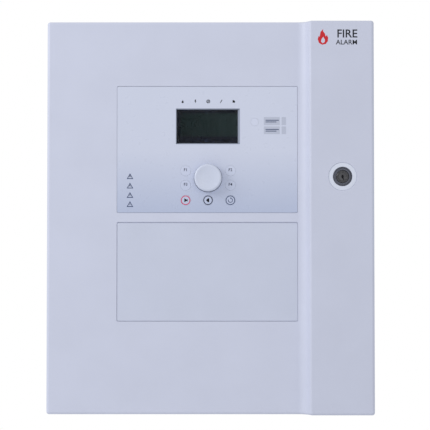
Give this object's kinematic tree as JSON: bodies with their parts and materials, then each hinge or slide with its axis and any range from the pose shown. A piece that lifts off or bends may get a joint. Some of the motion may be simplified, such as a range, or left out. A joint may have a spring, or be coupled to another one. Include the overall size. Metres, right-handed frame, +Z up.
{
  "type": "fire alarm control panel",
  "caption": "Wall-mounted fire alarm control panel: light grey case with raised lock strip, hinged cover, dark display, central dial and round keys.",
  "frame": {"origin": "middle of the back face of the steel box, on the wall", "axes": "+Z up, the front faces -Y, +X to the right as seen from the front"},
  "size_m": [0.372, 0.11, 0.447],
  "materials": {
    "cover_plastic": "fine matte texture",
    "blank_plastic": "fine matte texture",
    "box_paint": "light grey powder coat",
    "zinc_steel": "bright zinc plate",
    "film": "satin printed film",
    "key_plastic": "satin",
    "knob_plastic": "satin silver paint",
    "lens": "clear",
    "liquid_crystal": "dark, unlit",
    "board": "green solder mask",
    "black_plastic": "moulded",
    "grey_plastic": "moulded",
    "green_plastic": "moulded",
    "dark_chrome": "dark nickel",
    "brass": "plain",
    "red_wire": "insulated wire",
    "black_wire": "insulated wire",
    "earth_wire": "green and yellow insulated wire",
    "flat_cable": "grey flat cable"
  },
  "bodies": {
    "cabinet": {"back_box": "box_paint", "hinge_bracket_upper": "zinc_steel", "hinge_bracket_lower": "zinc_steel", "hinge_pin_upper": "zinc_steel", "hinge_pin_lower": "zinc_steel", "lock_keeper": "zinc_steel", "main_board": "board", "main_board_screw_1": "zinc_steel", "main_board_screw_2": "zinc_steel", "main_board_screw_3": "zinc_steel", "main_board_screw_4": "zinc_steel", "loop_terminals": "green_plastic", "output_terminals": "green_plastic", "power_supply_board": "board", "power_supply_cover": "zinc_steel", "mains_terminals": "grey_plastic", "fuse_holder": "black_plastic", "earth_stud": "brass", "earth_nut": "brass", "earth_lead": "earth_wire", "battery_left": "black_plastic", "battery_right": "black_plastic", "battery_strap": "zinc_steel", "battery_link_lead": "red_wire", "battery_lead_red": "red_wire", "battery_lead_black": "black_wire", "mains_lead": "black_wire", "supply_lead": "black_wire", "ribbon_cable": "flat_cable"},
    "door": {"door_cover": "cover_plastic", "overlay_film": "film", "blank_panel": "blank_plastic", "display_window": "lens", "display_glass": "liquid_crystal", "display_frame": "zinc_steel", "display_board": "board", "ui_board": "board", "ui_board_screw_1": "zinc_steel", "ui_board_screw_2": "zinc_steel", "ui_board_screw_3": "zinc_steel", "ui_board_screw_4": "zinc_steel", "encoder_body": "grey_plastic", "buzzer": "black_plastic", "lock_barrel": "dark_chrome", "lock_nut": "zinc_steel"},
    "lock_core": {"lock_plug": "dark_chrome", "lock_cam": "zinc_steel", "cam_screw": "zinc_steel"},
    "dial_push": {"dial_plunger": "black_plastic"},
    "dial": {"dial_shaft": "zinc_steel", "dial_knob": "knob_plastic"},
    "key_f1": {"key_f1": "key_plastic"},
    "key_f2": {"key_f2": "key_plastic"},
    "key_f3": {"key_f3": "key_plastic"},
    "key_f4": {"key_f4": "key_plastic"},
    "key_start": {"key_start": "key_plastic"},
    "key_silence": {"key_silence": "key_plastic"},
    "key_reset": {"key_reset": "key_plastic"},
    "key_delay": {"key_delay": "key_plastic"}
  },
  "joints": [
    {"name": "door_hinge", "type": "hinge", "parent": "cabinet", "child": "door", "pos_m": [-0.1785, -0.034, 0], "axis": [0, 0, -1], "range_deg": [0, 110], "deforming": ["ribbon_cable"]},
    {"name": "lock_turn", "type": "hinge", "parent": "door", "child": "lock_core", "pos_m": [0.15, -0.1, 0.046], "axis": [0, 1, 0], "range_deg": [0, 90]},
    {"name": "dial_press", "type": "slide", "parent": "door", "child": "dial_push", "axis": [0, 1, 0], "range_m": [0, 0.0005], "stiffness_N_per_m": 3000},
    {"name": "dial_turn", "type": "hinge", "parent": "dial_push", "child": "dial", "pos_m": [-0.0024, -0.1, 0.0449], "axis": [0, 1, 0], "continuous": true},
    {"name": "key_f1_press", "type": "slide", "parent": "door", "child": "key_f1", "axis": [0, 1, 0], "range_m": [0, 0.0004], "stiffness_N_per_m": 800},
    {"name": "key_f2_press", "type": "slide", "parent": "door", "child": "key_f2", "axis": [0, 1, 0], "range_m": [0, 0.0004], "stiffness_N_per_m": 800},
    {"name": "key_f3_press", "type": "slide", "parent": "door", "child": "key_f3", "axis": [0, 1, 0], "range_m": [0, 0.0004], "stiffness_N_per_m": 800},
    {"name": "key_f4_press", "type": "slide", "parent": "door", "child": "key_f4", "axis": [0, 1, 0], "range_m": [0, 0.0004], "stiffness_N_per_m": 800},
    {"name": "key_start_press", "type": "slide", "parent": "door", "child": "key_start", "axis": [0, 1, 0], "range_m": [0, 0.0004], "stiffness_N_per_m": 800},
    {"name": "key_silence_press", "type": "slide", "parent": "door", "child": "key_silence", "axis": [0, 1, 0], "range_m": [0, 0.0004], "stiffness_N_per_m": 800},
    {"name": "key_reset_press", "type": "slide", "parent": "door", "child": "key_reset", "axis": [0, 1, 0], "range_m": [0, 0.0004], "stiffness_N_per_m": 800},
    {"name": "key_delay_press", "type": "slide", "parent": "door", "child": "key_delay", "axis": [0, 1, 0], "range_m": [0, 0.0004], "stiffness_N_per_m": 800}
  ]
}
